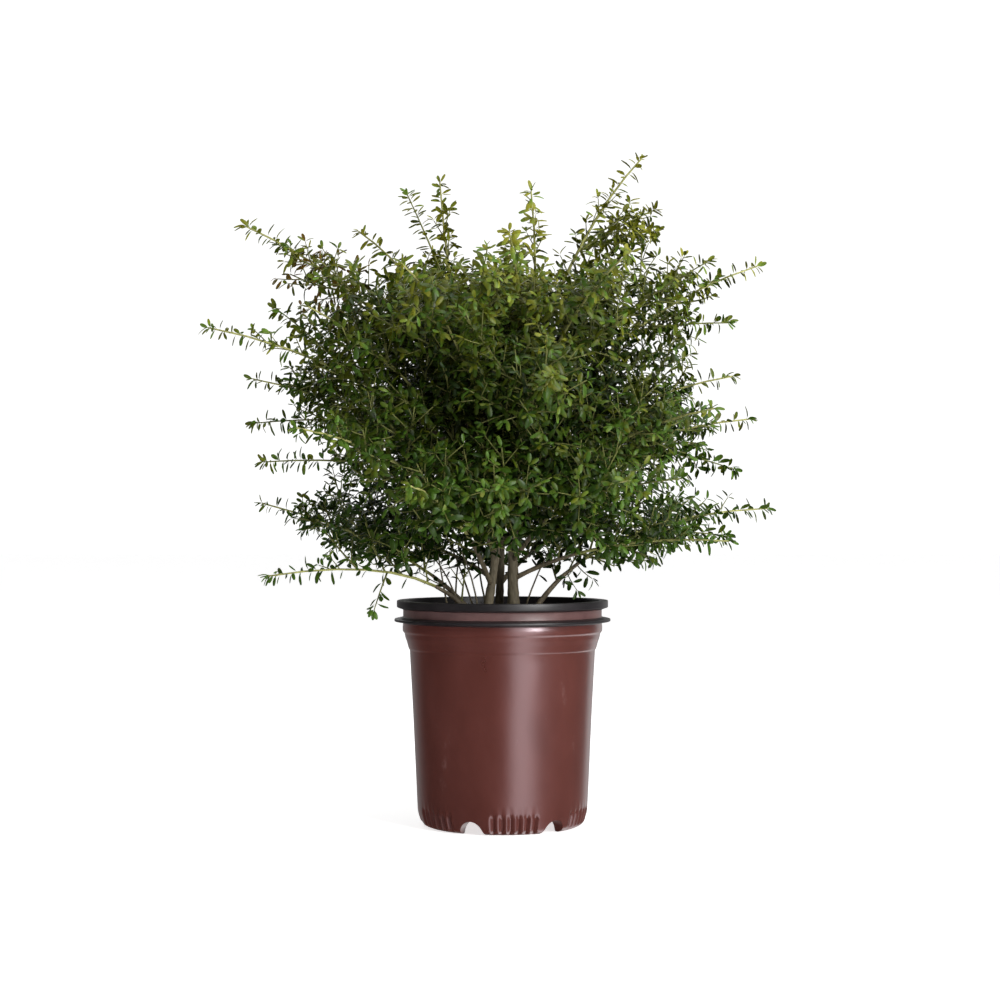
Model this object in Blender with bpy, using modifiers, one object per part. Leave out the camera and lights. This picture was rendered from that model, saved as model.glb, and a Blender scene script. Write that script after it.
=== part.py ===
"""A small-leaved holly in its nursery pot: a bushy young shrub on three trunks and three low side stems.

Metres, +Z up. The origin is on the ground under the pot's axis. The front is -Y and +X is to the right.
Each limb is one tapering solid. Each mass of foliage is one solid of its own: a stem that carries on from
the tip of its bough, side shoots that leave it by a seeded rule, and leaves fused to both.
"""

import math
import random
from collections import namedtuple

import bmesh
import bpy
from mathutils import Matrix, Vector

MM = 0.001
UP = Vector((0, 0, 1))
GAP = 0.3 * MM  # between neighbouring solids

# Pot: a double-rimmed nursery pot on six feet
POT_STEPS = 36
POT_HEIGHT = 175.3 * MM
WALL = 1.6 * MM
LIP_RADIUS = 82.3 * MM
LIP_DEPTH = 5.4 * MM
BAND_RADIUS = 77.4 * MM
FLANGE_RADIUS = 84.2 * MM
FLANGE_TOP = 162.4 * MM
FLANGE_EDGE = (160.9 * MM, 159.1 * MM)
FLANGE_ROOT = 158.0 * MM
SHOULDER_BASE = 150.2 * MM
WAIST = ((74.9 * MM, 144.2 * MM), (72.2 * MM, 137.0 * MM))
BODY_FOOT = (66.0 * MM, 11.5 * MM)
CORNER = ((64.4 * MM, 5.6 * MM), (61.6 * MM, 1.8 * MM), (57.8 * MM, 0.0))
FOOT_INSIDE = 53.4 * MM
FLOOR_UNDERSIDE = 11.4 * MM
FEET = 6
FOOT_TURN = math.radians(-82)  # azimuth of the front foot's middle
ARCH_WIDTH = 19.0 * MM
ARCH_HEIGHT = 10.6 * MM
ARCH_SIDES = 12

# Soil
SOIL_TOP = 160.0 * MM
SOIL_MOUND_RADIUS = 42 * MM
SOIL_DROP = 4 * MM  # from the middle to the wall

# Trunks: foot on the soil, a place half way up, tip, and the radii at foot, above the flare and at the tip
TRUNK_SIDES = 8
TRUNK_RINGS = 9
FLARE_HEIGHT = 16 * MM
Trunk = namedtuple("Trunk", "foot middle tip foot_radius radius tip_radius")
TRUNKS = {
    "trunk_left": Trunk((-13, -6), (-5, -8, 256), (-24, -14, 352), 5.6, 3.7, 1.5),
    "trunk_right": Trunk((9, 0), (10, 0, 272), (22, 4, 384), 7.4, 4.6, 1.6),
    "trunk_back": Trunk((-3, 14), (-1, 26, 256), (-6, 44, 352), 4.8, 3.3, 1.5),
}

# Limbs that leave a trunk, or the soil beside it
Line = namedtuple("Line", "points radii")
BOUGH_SIDES = 6
LEADER_STEPS = 9
BOUGH_STEPS = 3  # of a leader's, before its mass begins
STEM_STEPS = 4  # of a stem that carries a trunk on
KNEE_OUT = 0.42  # the middle control point of a leader's arch, as shares of its run and of its rise
KNEE_UP = 0.64
KNEE_LIFT = 0.10  # of its run
BOUGH_RADIUS = 2.1 * MM
SPLIT_RADIUS = 1.35 * MM  # where a bough ends and its mass begins
TIP_RADIUS = 0.65 * MM
SIDE_STEM_RADIUS = 2.6 * MM
SIDE_STEM_OUT = 0.22  # a side stem climbs over the rim before it flattens
EXTRA_ROOT = 0.3  # of the stem, where a mass's further long shoots leave it

# A leader runs from its limb to a tip at the crown's outline. Its first stretch is the bough and the rest is
# the stem of the mass. limb: what it leaves. share: how far up that limb. The tip is azimuth in degrees from
# +X, reach from the pot's axis and height in mm. extra: the tips of further long shoots of the same mass.
Leader = namedtuple("Leader", "name limb share azimuth reach height extra", defaults=((),))
LEADERS = (
    Leader("low_right", "side_stem_right", 1.0, 20, 230, 247, ((26, 206, 224),)),
    Leader("low_front_right", "trunk_right", 0.14, 337, 184, 222),
    Leader("low_front", "trunk_right", 0.20, 298, 192, 266, ((316, 180, 268),)),
    Leader("low_front_left", "trunk_left", 0.14, 250, 190, 262),
    Leader("low_left_front", "side_stem_front", 1.0, 203, 190, 196, ((212, 114, 170),)),
    Leader("low_left", "side_stem_left", 1.0, 170, 194, 251),
    Leader("low_back_left", "trunk_back", 0.14, 142, 200, 232),
    Leader("low_back", "trunk_back", 0.20, 102, 198, 240),
    Leader("low_back_right", "trunk_back", 0.14, 62, 202, 234),
    Leader("mid_right", "trunk_right", 0.36, 357, 192, 316, ((11, 188, 278),)),
    Leader("mid_front_right", "trunk_right", 0.30, 318, 204, 318),
    Leader("mid_front", "trunk_right", 0.42, 280, 202, 338, ((258, 150, 388),)),
    Leader("mid_front_left", "trunk_left", 0.28, 224, 205, 304, ((205, 196, 281),)),
    Leader("mid_left", "trunk_left", 0.40, 174, 198, 349, ((182, 192, 313),)),
    Leader("mid_back_left", "trunk_back", 0.40, 138, 206, 322),
    Leader("mid_back", "trunk_back", 0.46, 94, 205, 346),
    Leader("mid_back_right", "trunk_back", 0.30, 44, 208, 326),
    Leader("high_right", "trunk_right", 0.56, 6, 202, 438, ((2, 177, 392),)),
    Leader("high_front_right", "trunk_right", 0.62, 299, 188, 428, ((338, 166, 432),)),
    Leader("high_front_left", "trunk_left", 0.74, 248, 190, 418, ((266, 158, 430),)),
    Leader("long_left", "trunk_left", 0.52, 200, 233, 381, ((182, 176, 402),)),
    Leader("high_left", "trunk_left", 0.62, 197, 202, 459),
    Leader("high_back_left", "trunk_back", 0.68, 120, 186, 446),
    Leader("high_back_right", "trunk_back", 0.60, 60, 190, 448),
    Leader("top_right", "trunk_right", 0.80, 349, 109, 516, ((2, 119, 480), (24, 134, 470))),
    Leader("top_middle", "trunk_right", 1.0, 289, 66, 485),
    Leader("top_left", "trunk_left", 1.0, 146, 60, 506, ((190, 75, 490),)),
    Leader("top_left_outer", "trunk_left", 0.84, 160, 122, 468),
    Leader("top_back", "trunk_back", 1.0, 86, 122, 470),
    Leader("top_front", "trunk_right", 0.86, 272, 132, 446),
    Leader("inner_front_left", "trunk_left", 0.44, 212, 170, 396),
    Leader("inner_front_right", "trunk_right", 0.44, 345, 181, 347),
    Leader("inner_back_left", "trunk_back", 0.54, 158, 118, 392),
    Leader("inner_back_right", "trunk_back", 0.34, 30, 116, 378),
    Leader("inner_low_front", "trunk_right", 0.28, 270, 168, 262),
)
BARE_TRUNK_MASSES = (  # these leave their trunk with no bough between
    "mid_back",
    "high_front_right",
    "high_front_left",
    "high_back_left",
    "high_back_right",
    "top_left_outer",
    "top_front",
    "inner_front_left",
    "inner_front_right",
    "inner_back_left",
    "inner_back_right",
    "inner_low_front",
)

# Side stems that leave the soil beside the trunks: foot and knee height in mm, and the leader of each one
SIDE_STEMS = {
    "side_stem_right": ((19, -7), 241, "low_right"),
    "side_stem_left": ((-19, 4), 217, "low_left"),
    "side_stem_front": ((-19, -20), 215, "low_left_front"),
}

# Foliage
GOLDEN_ANGLE = math.radians(137.5)
SHOOTS = 13  # side shoots that the rule gives a mass, from its root to its tip
SHOOT_STRIDE = 3  # the solids have every third of them
FIRST_SHOOT, LAST_SHOOT = 0.06, 0.90  # shares of the stem
SHOOT_ANGLE = (math.radians(62), math.radians(34))  # at the first and at the last
SHOOT_SHARE = (0.62, 0.30)  # their lengths as shares of the stem's
SHOOT_LIFT = 0.36  # how much a shoot turns up
SHOOT_RADIUS = (0.95 * MM, 0.55 * MM)
TRIES = (1.0, 0.78, 0.58)  # a shoot that would leave its mass's space is shortened twice, then left out
LEAF_LENGTH = 34 * MM  # larger than life, so that a few hundred fill the crown
LEAF_WIDTH = 0.60  # of its length
LEAF_WIDEST = 0.60  # of the way from its root to its tip
LEAF_THICKNESS = 0.05
LEAF_ARCH = 0.10
LEAF_SPACING = 18 * MM
LEAF_FAN = math.radians(52)  # between a leaf and its shoot
LEAF_TURN = 0.9  # how far a leaf's face strays at random from up and outward
LEAF_SHORT_OF_TIP = 0.92  # of a leaf's length, kept by each shoot's end for its last leaf
LEAF_APART = 0.5  # of a leaf's length, between the middles of two leaves
SKIRT = 206 * MM  # side shoots and their leaves keep above this height
LIMB_CLEARANCE = 0.8 * MM
SPACE_MARGIN = 1.0 * MM
SAMPLES = 9
FLAT = math.radians(0.2)

Look = namedtuple("Look", "colour roughness metallic")
LOOKS = {
    "pot_plastic": Look((0.115, 0.042, 0.034), 0.38, 0.0),
    "potting_soil": Look((0.035, 0.022, 0.015), 0.95, 0.0),
    "bark": Look((0.20, 0.165, 0.115), 0.80, 0.0),
    "foliage": Look((0.055, 0.115, 0.025), 0.42, 0.0),
}


def clear_scene():
    for item in list(bpy.data.objects):
        bpy.data.objects.remove(item, do_unlink=True)


def collection(name):
    made = bpy.data.collections.new(name)
    bpy.context.scene.collection.children.link(made)
    return made


def material(node, look):
    made = bpy.data.materials.new(node)
    made.use_nodes = True
    shader = made.node_tree.nodes["Principled BSDF"]
    shader.inputs["Base Color"].default_value = (*LOOKS[look].colour, 1)
    shader.inputs["Roughness"].default_value = LOOKS[look].roughness
    shader.inputs["Metallic"].default_value = LOOKS[look].metallic
    return made


def mesh_object(name, shape, home):
    """A new object from a bmesh, linked to a collection."""
    mesh = bpy.data.meshes.new(name)
    shape.to_mesh(mesh)
    shape.free()
    made = bpy.data.objects.new(name, mesh)
    home.objects.link(made)
    return made


def finish(node, look, smooth_angle=math.radians(35)):
    node.data.materials.clear()
    node.data.materials.append(material(node.name, look))
    node.data.shade_smooth()
    node.data.set_sharp_from_angle(angle=smooth_angle)


def applied(node):
    """Replaces an object's mesh by what its modifiers make of it."""
    bpy.context.view_layer.update()
    evaluated = node.evaluated_get(bpy.context.evaluated_depsgraph_get())
    mesh = bpy.data.meshes.new_from_object(evaluated)
    node.modifiers.clear()
    node.data = mesh


def turned(name, profile, home):
    """A solid turned round Z from (radius, height) points that start and end on the axis."""
    shape = bmesh.new()
    corners = [shape.verts.new((radius, 0, height)) for radius, height in profile]
    for first, second in zip(corners, corners[1:]):
        shape.edges.new((first, second))
    made = mesh_object(name, shape, home)
    screw = made.modifiers.new("Turn", "SCREW")
    screw.steps = screw.render_steps = POT_STEPS
    screw.use_merge_vertices = True
    screw.merge_threshold = 0.00001
    return made


def pot_inner_wall():
    """The inner wall's (radius, height) points from the floor up to the lip."""
    floor = FLOOR_UNDERSIDE + WALL
    waist = [(radius - WALL, height) for radius, height in reversed(WAIST)]
    return [
        (BODY_FOOT[0] - 4 * WALL, floor),
        (BODY_FOOT[0] - WALL, floor + 2 * WALL),
        *waist,
        (BAND_RADIUS - WALL, SHOULDER_BASE),
        (BAND_RADIUS - WALL, POT_HEIGHT),
    ]


def make_pot(home, cutters):
    outer = [
        (LIP_RADIUS, POT_HEIGHT),
        (LIP_RADIUS, POT_HEIGHT - LIP_DEPTH),
        (BAND_RADIUS, POT_HEIGHT - LIP_DEPTH - WALL),
        (BAND_RADIUS, FLANGE_TOP),
        (FLANGE_RADIUS, FLANGE_EDGE[0]),
        (FLANGE_RADIUS, FLANGE_EDGE[1]),
        (BAND_RADIUS, FLANGE_ROOT),
        (BAND_RADIUS, SHOULDER_BASE),
        *WAIST,
        BODY_FOOT,
        *CORNER,
        (FOOT_INSIDE, 0),
        (FOOT_INSIDE, FLOOR_UNDERSIDE),
        (0, FLOOR_UNDERSIDE),
    ]
    profile = [(0, FLOOR_UNDERSIDE + WALL), *pot_inner_wall(), *outer]
    pot = turned("pot", profile, home)
    arches = bmesh.new()
    depth = CORNER[0][0] - FOOT_INSIDE + 12 * MM
    for number in range(FEET):
        turn = FOOT_TURN + (number + 0.5) * math.tau / FEET
        centre = (FOOT_INSIDE + CORNER[0][0]) / 2
        place = Matrix.Rotation(turn, 4, "Z") @ Matrix.Translation((centre, 0, 0))
        squeeze = Matrix.Diagonal((1, ARCH_WIDTH / 2, ARCH_HEIGHT, 1))
        bmesh.ops.create_cone(
            arches,
            cap_ends=True,
            segments=ARCH_SIDES,
            radius1=1,
            radius2=1,
            depth=depth,
            matrix=place @ squeeze @ Matrix.Rotation(math.pi / 2, 4, "Y"),
        )
    cutter = mesh_object("foot_arches", arches, cutters)
    cutter.display_type = "WIRE"
    cutter.hide_render = True
    cut = pot.modifiers.new("Foot arches", "BOOLEAN")
    cut.operation = "DIFFERENCE"
    cut.solver = "EXACT"
    cut.object = cutter
    finish(pot, "pot_plastic")
    return pot


def make_soil(home):
    inside = [(radius - GAP, height + GAP) for radius, height in pot_inner_wall()[:-1]]
    side = list(reversed(inside))
    edge = (side[0][0], SOIL_TOP - SOIL_DROP)
    profile = [(0, SOIL_TOP), (SOIL_MOUND_RADIUS, SOIL_TOP), edge, *side, (0, side[-1][1])]
    soil = turned("soil", profile, home)
    finish(soil, "potting_soil")
    return soil


def limb_mesh(name, points, radii, sides, home):
    """A tapering tube along points, closed at both ends."""
    ring = bpy.data.curves.new("ring", "CURVE")
    outline = ring.splines.new("POLY")
    outline.points.add(sides - 1)
    for number, corner in enumerate(outline.points):
        turn = number * math.tau / sides
        corner.co = (math.cos(turn), math.sin(turn), 0, 1)
    outline.use_cyclic_u = True
    section = bpy.data.objects.new("ring", ring)
    line = bpy.data.curves.new(name, "CURVE")
    line.dimensions = "3D"
    line.bevel_mode = "OBJECT"
    line.bevel_object = section
    line.use_fill_caps = True
    route = line.splines.new("POLY")
    route.points.add(len(points) - 1)
    for knot, place, radius in zip(route.points, points, radii):
        knot.co = (*place, 1)
        knot.radius = radius
    tube = bpy.data.objects.new(name, line)
    home.objects.link(tube)
    bpy.context.view_layer.update()
    mesh = bpy.data.meshes.new_from_object(tube.evaluated_get(bpy.context.evaluated_depsgraph_get()))
    bpy.data.objects.remove(tube)
    bpy.data.objects.remove(section)
    shape = bmesh.new()
    shape.from_mesh(mesh)
    bmesh.ops.remove_doubles(shape, verts=shape.verts, dist=0.00001)
    bmesh.ops.recalc_face_normals(shape, faces=shape.faces)
    bpy.data.meshes.remove(mesh)
    return mesh_object(name, shape, home)


def polar(azimuth, reach, height):
    turn = math.radians(azimuth)
    return Vector((math.cos(turn) * reach, math.sin(turn) * reach, height)) * MM


def knee_of(start, tip):
    run = Vector((tip.x - start.x, tip.y - start.y, 0))
    return start + run * KNEE_OUT + UP * ((tip.z - start.z) * KNEE_UP + run.length * KNEE_LIFT)


def arch(start, tip, steps, knee=None):
    """Points of a limb that leaves steeply and flattens towards its tip."""
    knee = knee or knee_of(start, tip)
    shares = [number / steps for number in range(steps + 1)]
    return [start.lerp(knee, share).lerp(knee.lerp(tip, share), share) for share in shares]


def along(points, share):
    """The place at a share of a line's length, and the line's heading there."""
    left = share * length_of(points)
    for first, second in zip(points, points[1:]):
        run = second - first
        if left <= run.length or second is points[-1]:
            return first + run.normalized() * left, run.normalized()
        left -= run.length


def length_of(points):
    return sum((second - first).length for first, second in zip(points, points[1:]))


def shortened(points, cut):
    """The line with a length cut off its end."""
    points = list(points)
    while (points[-1] - points[-2]).length <= cut:
        cut -= (points[-1] - points[-2]).length
        points.pop()
    points[-1] = points[-1] + (points[-2] - points[-1]).normalized() * cut
    return points


def tapered(start, end, count):
    return [start + (end - start) * number / (count - 1) for number in range(count)]


def reach_to(first, second, place):
    """The distance from a place to the stretch between two points, and how far along it that is."""
    run = second - first
    share = min(max((place - first).dot(run) / run.length_squared, 0), 1)
    return (first + run * share - place).length, share


def trunk_line(trunk):
    """A trunk's points and radii, from the flat foot on the soil to the tip."""
    foot = Vector((*trunk.foot, 0)) * MM + UP * (SOIL_TOP + GAP)
    middle = Vector(trunk.middle) * MM
    tip = Vector(trunk.tip) * MM
    knee = middle * 2 - (foot + tip) / 2
    points = arch(foot, tip, TRUNK_RINGS - 1, knee)
    radii = tapered(trunk.radius, trunk.tip_radius, TRUNK_RINGS)
    rise = (points[1] - foot) * (FLARE_HEIGHT / (points[1].z - foot.z))
    base = foot + UP * FLARE_HEIGHT * 0.12
    flare = [foot, base, base + rise * 0.28, base + rise * 0.88]
    spread = [1.0, 0.90, 0.45, 0.0]
    above = [number for number, place in enumerate(points) if place.z > flare[-1].z + FLARE_HEIGHT / 2]
    swell = trunk.foot_radius - trunk.radius
    points = flare + [points[number] for number in above]
    radii = [trunk.radius + swell * share for share in spread] + [radii[number] for number in above]
    return points, [radius * MM for radius in radii]


def cut_clear(node, points, radii, sides, cutters):
    """Cuts a limb's root clear of the limb that it leaves."""
    cutter = limb_mesh("clearing", points, [radius + GAP for radius in radii], sides, cutters)
    cut = node.modifiers.new("Clear", "BOOLEAN")
    cut.operation = "DIFFERENCE"
    cut.solver = "EXACT"
    cut.object = cutter
    applied(node)
    bpy.data.objects.remove(cutter)


def stand_on_soil(node):
    """Cuts a side stem off flat at the soil."""
    shape = bmesh.new()
    shape.from_mesh(node.data)
    level = UP * (SOIL_TOP + GAP)
    geometry = [*shape.verts, *shape.edges, *shape.faces]
    bmesh.ops.bisect_plane(shape, geom=geometry, plane_co=level, plane_no=-UP, clear_outer=True)
    rim = [edge for edge in shape.edges if edge.is_boundary]
    bmesh.ops.edgeloop_fill(shape, edges=rim)
    bmesh.ops.recalc_face_normals(shape, faces=shape.faces)
    shape.to_mesh(node.data)
    shape.free()


def make_limbs(home, cutters):
    """Trunks, side stems and boughs. Returns each limb's line, and the line that each mass's stem follows."""
    limbs, stems = {}, {}
    for name, trunk in TRUNKS.items():
        points, radii = trunk_line(trunk)
        limbs[name] = Line(points, radii)
        limb_mesh(name, points, radii, TRUNK_SIDES, home)
    for leader in LEADERS:
        tip = polar(leader.azimuth, leader.reach, leader.height)
        if leader.limb in SIDE_STEMS:
            foot, knee_height, _ = SIDE_STEMS[leader.limb]
            start = Vector((*foot, 0)) * MM + UP * (SOIL_TOP - 3 * MM)
            knee = start.lerp(tip, SIDE_STEM_OUT)
            knee.z = knee_height * MM
            radius, node = SIDE_STEM_RADIUS, leader.limb
            route = arch(start, tip, LEADER_STEPS, knee)
        elif leader.share == 1.0:
            trunk = limbs[leader.limb]
            start, heading = along(trunk.points, 1)
            knee = start + heading * (tip - start).length * 0.4
            stems[leader.name] = Line(arch(start, tip, STEM_STEPS, knee), (trunk.radii[-1], TIP_RADIUS))
            continue
        else:
            start = along(limbs[leader.limb].points, leader.share)[0]
            radius, node = BOUGH_RADIUS, "bough_" + leader.name
            route = arch(start, tip, LEADER_STEPS)
        if leader.name in BARE_TRUNK_MASSES:
            stems[leader.name] = Line(route[::2] + route[-1:], (SPLIT_RADIUS, TIP_RADIUS))
            continue
        points = route[: BOUGH_STEPS + 1]
        radii = tapered(radius, SPLIT_RADIUS, len(points))
        limbs[node] = Line(points, radii)
        stems[leader.name] = Line(route[BOUGH_STEPS:], (SPLIT_RADIUS, TIP_RADIUS))
        bough = limb_mesh(node, points, radii, BOUGH_SIDES, home)
        if leader.limb in SIDE_STEMS:
            stand_on_soil(bough)
        else:
            trunk = limbs[leader.limb]
            cut_clear(bough, trunk.points, trunk.radii, TRUNK_SIDES, cutters)
    for name in limbs:
        finish(home.objects[name], "bark")
    return limbs, stems


class Space:
    """The room that each mass keeps to: nearer to its own lines than to any other mass's, and clear of limbs."""

    def __init__(self, limbs, lines):
        self.limbs = list(limbs.values())
        self.lines = lines

    def distance(self, owner, place):
        return min(
            reach_to(first, second, place)[0]
            for points in self.lines[owner]
            for first, second in zip(points, points[1:])
        )

    def free(self, owner, places):
        for place in places:
            own = self.distance(owner, place)
            for other in self.lines:
                if other != owner and self.distance(other, place) < own + SPACE_MARGIN:
                    return False
            for limb in self.limbs:
                for number, (first, second) in enumerate(zip(limb.points, limb.points[1:])):
                    distance, share = reach_to(first, second, place)
                    radius = limb.radii[number] + (limb.radii[number + 1] - limb.radii[number]) * share
                    if distance < radius + LIMB_CLEARANCE:
                        return False
        return True


def leaf_mesh():
    """A flattened eight-faced leaf, 1 long from its root at the origin to its tip on +Y, arched, facing +Z."""
    shape = bmesh.new()
    bmesh.ops.create_uvsphere(shape, u_segments=4, v_segments=2, radius=0.5)
    bmesh.ops.scale(shape, vec=(LEAF_WIDTH, 1, LEAF_THICKNESS), verts=shape.verts)
    bmesh.ops.translate(shape, vec=(0, 0.5, 0), verts=shape.verts)
    for vert in shape.verts:
        vert.co.z += LEAF_ARCH * math.sin(math.pi * vert.co.y) * (1 - abs(vert.co.x) / LEAF_WIDTH)
        vert.co.y += (LEAF_WIDEST - 0.5) * math.sin(math.pi * vert.co.y)
    mesh = bpy.data.meshes.new("leaf")
    shape.to_mesh(mesh)
    shape.free()
    return mesh


def twig_mesh():
    """A three-sided tapering twig, 1 long on +Y and of radius 1 at its root."""
    shape = bmesh.new()
    lay_down = Matrix.Translation((0, 0.5, 0)) @ Matrix.Rotation(-math.pi / 2, 4, "X")
    bmesh.ops.create_cone(
        shape,
        cap_ends=True,
        segments=3,
        radius1=1,
        radius2=SHOOT_RADIUS[1] / SHOOT_RADIUS[0],
        depth=1,
        matrix=lay_down,
    )
    mesh = bpy.data.meshes.new("twig")
    shape.to_mesh(mesh)
    shape.free()
    return mesh


def frame_on(origin, heading, face, scale):
    """A matrix that lays +Y along heading and turns +Z towards face."""
    forward = heading.normalized()
    side = forward.cross(face).normalized()
    normal = side.cross(forward)
    axes = Matrix((side, forward, normal)).transposed().to_4x4()
    return Matrix.Translation(origin) @ axes @ Matrix.Diagonal((*scale, 1))


def sideways(heading, turn):
    """The direction square to a heading, turned about it."""
    across = heading.cross(UP if abs(heading.z) < 0.95 else Vector((1, 0, 0))).normalized()
    return Matrix.Rotation(turn, 3, heading) @ across


def side_shoots(stem, seed):
    """(number, root, heading, length) of the shoots that leave a stem, from its root to its tip."""
    whole = length_of(stem)
    for number in range(SHOOTS):
        draw = random.Random(seed * 100 + number)
        way = number / (SHOOTS - 1)
        root, ahead = along(stem, FIRST_SHOOT + (LAST_SHOOT - FIRST_SHOOT) * way)
        fan = SHOOT_ANGLE[0] + (SHOOT_ANGLE[1] - SHOOT_ANGLE[0]) * way
        across = sideways(ahead, number * GOLDEN_ANGLE + seed)
        heading = ahead * math.cos(fan) + across * math.sin(fan) + UP * SHOOT_LIFT
        share = SHOOT_SHARE[0] + (SHOOT_SHARE[1] - SHOOT_SHARE[0]) * way
        yield number, root, heading.normalized(), whole * share * draw.uniform(0.8, 1.15)


def leaf_places(points, first_share, seed):
    """(root, heading, face) of leaves in a spiral along a shoot, the last one carrying the shoot on."""
    whole = length_of(points)
    draw = random.Random(seed)
    count = max(2, round(whole * (1 - first_share) / LEAF_SPACING))
    for number in range(count + 1):
        share = first_share + (1 - first_share) * number / count
        root, ahead = along(points, share if number < count else 0.97)
        fan = LEAF_FAN * draw.uniform(0.85, 1.2) if number < count else 0.12
        heading = ahead * math.cos(fan) + sideways(ahead, number * GOLDEN_ANGLE + seed) * math.sin(fan)
        stray = Vector([draw.uniform(-LEAF_TURN, LEAF_TURN) for axis in range(3)])
        outward = Vector((root.x, root.y, 0)).normalized()
        yield root, heading.normalized(), outward + UP * 0.6 + stray


def corners_of(mesh, matrix):
    return [matrix @ vert.co for vert in mesh.vertices]


def fuse(stem, additions, heap):
    """Joins the additions to the stem by one union, and keeps its one outer body."""
    union = stem.modifiers.new("Union", "BOOLEAN")
    union.operation = "UNION"
    union.operand_type = "COLLECTION"
    union.collection = heap
    union.solver = "MANIFOLD"
    applied(stem)
    for piece in additions:
        bpy.data.objects.remove(piece)
    shape = bmesh.new()
    shape.from_mesh(stem.data)
    bmesh.ops.triangulate(shape, faces=shape.faces)
    loose = set(shape.verts)
    largest = []
    while loose:
        island, front = [], [loose.pop()]
        while front:
            vert = front.pop()
            island.append(vert)
            for edge in vert.link_edges:
                other = edge.other_vert(vert)
                if other in loose:
                    loose.remove(other)
                    front.append(other)
        largest = max(largest, island, key=len)
    kept = set(largest)
    bmesh.ops.delete(shape, geom=[vert for vert in shape.verts if vert not in kept], context="VERTS")
    bmesh.ops.dissolve_limit(shape, angle_limit=FLAT, verts=shape.verts, edges=shape.edges)
    bmesh.ops.triangulate(shape, faces=shape.faces)
    shape.to_mesh(stem.data)
    shape.free()


def make_mass(leader, line, extras, space, leaf, twig, seed, home, heap):
    """One mass of foliage."""
    last_leaf = LEAF_LENGTH * LEAF_SHORT_OF_TIP
    points = shortened(line.points, last_leaf)
    points[0] = points[0] + (points[1] - points[0]).normalized() * GAP
    radii = tapered(*line.radii, len(points))
    name = "foliage_" + leader.name
    stem = limb_mesh(name, points, radii, 3, home)
    additions, middles = [], []

    def add(mesh, matrix):
        piece = bpy.data.objects.new("addition", mesh)
        piece.matrix_world = matrix
        heap.objects.link(piece)
        additions.append(piece)

    def add_leaves(shoot, first_share, number, lowest=0):
        for root, direction, face in leaf_places(shoot, first_share, seed * 50 + number):
            matrix = frame_on(root, direction, face, (LEAF_LENGTH,) * 3)
            middle = root + direction * LEAF_LENGTH / 2
            corners = corners_of(leaf, matrix)[1:]
            crowded = any((middle - other).length < LEAF_APART * LEAF_LENGTH for other in middles)
            low = min(corner.z for corner in corners) < lowest
            if not crowded and not low and space.free(leader.name, corners):
                add(leaf, matrix)
                middles.append(middle)

    def add_twig(root, end):
        scale = (SHOOT_RADIUS[0], (end - root).length, SHOOT_RADIUS[0])
        add(twig, frame_on(root, end - root, UP + Vector((0.1, 0, 0)), scale))

    add_leaves(points, 0.35, 0)
    for extra in extras:
        shoot = shortened(extra, last_leaf)
        add_twig(*shoot)
        add_leaves(shoot, 0.3, 1)
    for number, root, direction, length in side_shoots(points, seed):
        if number % SHOOT_STRIDE:
            continue
        for share in TRIES:
            end = root + direction * (length * share - last_leaf)
            samples = [root.lerp(end, step / SAMPLES) for step in range(1, SAMPLES + 1)]
            if length * share > LEAF_LENGTH and end.z > SKIRT and space.free(leader.name, samples):
                add_twig(root, end)
                add_leaves([root, end], 0.34, number + 2, SKIRT)
                break
    fuse(stem, additions, heap)
    finish(stem, "foliage", math.radians(20))


def main():
    clear_scene()
    home = collection("potted_holly")
    cutters = collection("cutters")
    make_pot(home, cutters)
    make_soil(home)
    limbs, stems = make_limbs(home, cutters)
    lines = {}
    for leader in LEADERS:
        stem = stems[leader.name]
        tips = [polar(*extra) for extra in leader.extra]
        lines[leader.name] = [stem.points] + [[along(stem.points, EXTRA_ROOT)[0], tip] for tip in tips]
    space = Space(limbs, lines)
    leaf, twig = leaf_mesh(), twig_mesh()
    heap = collection("fusing")
    for seed, leader in enumerate(LEADERS, start=1):
        make_mass(leader, stems[leader.name], lines[leader.name][1:], space, leaf, twig, seed, home, heap)
    bpy.data.collections.remove(heap)
    trunk_of = {leader.name: limbs[leader.limb] for leader in LEADERS if leader.name in BARE_TRUNK_MASSES}
    for name, trunk in trunk_of.items():
        node = home.objects["foliage_" + name]
        cut_clear(node, trunk.points, trunk.radii, TRUNK_SIDES, cutters)


main()
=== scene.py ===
"""The looks of a potted holly: pot, potting mix, bark, twigs and leaves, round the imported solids."""

import math
import random
from collections import namedtuple

import bmesh
import bpy
import numpy as np
from mathutils import Matrix, Vector, noise


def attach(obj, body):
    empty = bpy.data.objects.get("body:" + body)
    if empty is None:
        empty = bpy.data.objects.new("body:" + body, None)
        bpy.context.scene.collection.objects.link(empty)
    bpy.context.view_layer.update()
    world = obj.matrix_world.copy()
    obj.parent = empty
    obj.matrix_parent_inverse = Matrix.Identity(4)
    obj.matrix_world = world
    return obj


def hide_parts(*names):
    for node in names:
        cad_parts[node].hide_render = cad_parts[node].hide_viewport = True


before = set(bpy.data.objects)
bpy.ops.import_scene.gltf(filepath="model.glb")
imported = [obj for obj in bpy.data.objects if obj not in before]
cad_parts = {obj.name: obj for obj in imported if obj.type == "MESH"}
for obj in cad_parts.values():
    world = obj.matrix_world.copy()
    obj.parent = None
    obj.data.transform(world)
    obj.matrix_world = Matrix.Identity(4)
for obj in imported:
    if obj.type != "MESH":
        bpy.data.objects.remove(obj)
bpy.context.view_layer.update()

MM = 0.001
UP = Vector((0, 0, 1))

# Camera: level, at the photograph's distance and height
CAMERA_PLACE = (-1.9 * MM, -1724 * MM, 241.6 * MM)
CAMERA_LENS = 79.56
CAMERA_SHIFT = 0.015

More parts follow.
